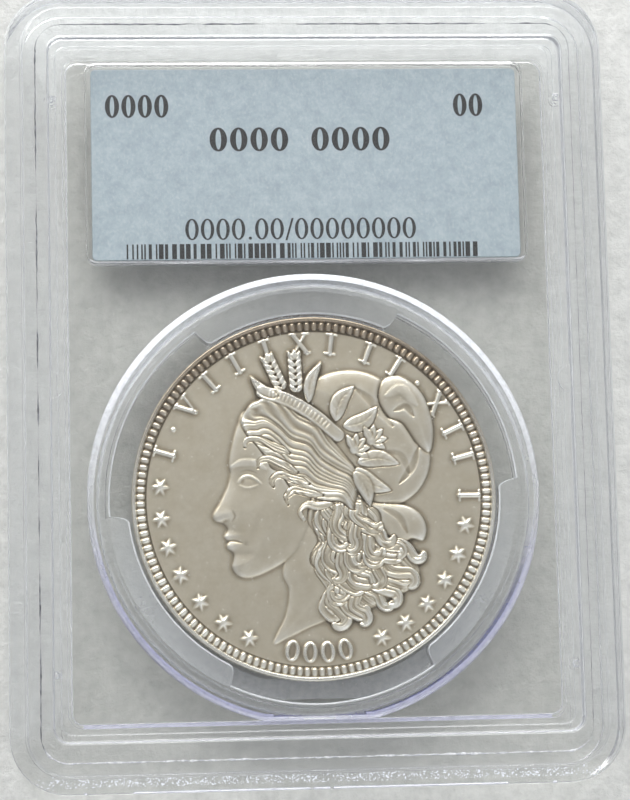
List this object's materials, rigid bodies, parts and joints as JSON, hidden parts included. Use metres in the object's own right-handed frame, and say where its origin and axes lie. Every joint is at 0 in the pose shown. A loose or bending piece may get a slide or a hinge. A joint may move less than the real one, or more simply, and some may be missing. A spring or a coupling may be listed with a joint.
{
  "type": "graded coin slab",
  "caption": "Flat clear plastic holder with a round coin centred in a three-tab ring below a printed card, with a raised stacking rim round the front window.",
  "frame": {"origin": "centre of the footprint, on the plane the back rim rests on", "axes": "+Z out of the front window, +Y from the coin towards the label card, +X across the width"},
  "size_m": [0.0636, 0.084, 0.008],
  "materials": {
    "shell_front": "clear moulded polystyrene, glossy",
    "shell_back": "clear moulded polystyrene, glossy",
    "gasket": "clear moulded plastic, slightly frosted at its edge",
    "coin_metal": "struck silver, satin with a warm tone",
    "card": "matt light blue-grey card with fine fibres",
    "seal": "bright foil"
  },
  "bodies": {
    "root": {"front_shell": "shell_front", "back_shell": "shell_back", "coin_gasket": "gasket", "coin": "coin_metal", "label_card": "card", "security_seal": "seal"}
  },
  "joints": []
}
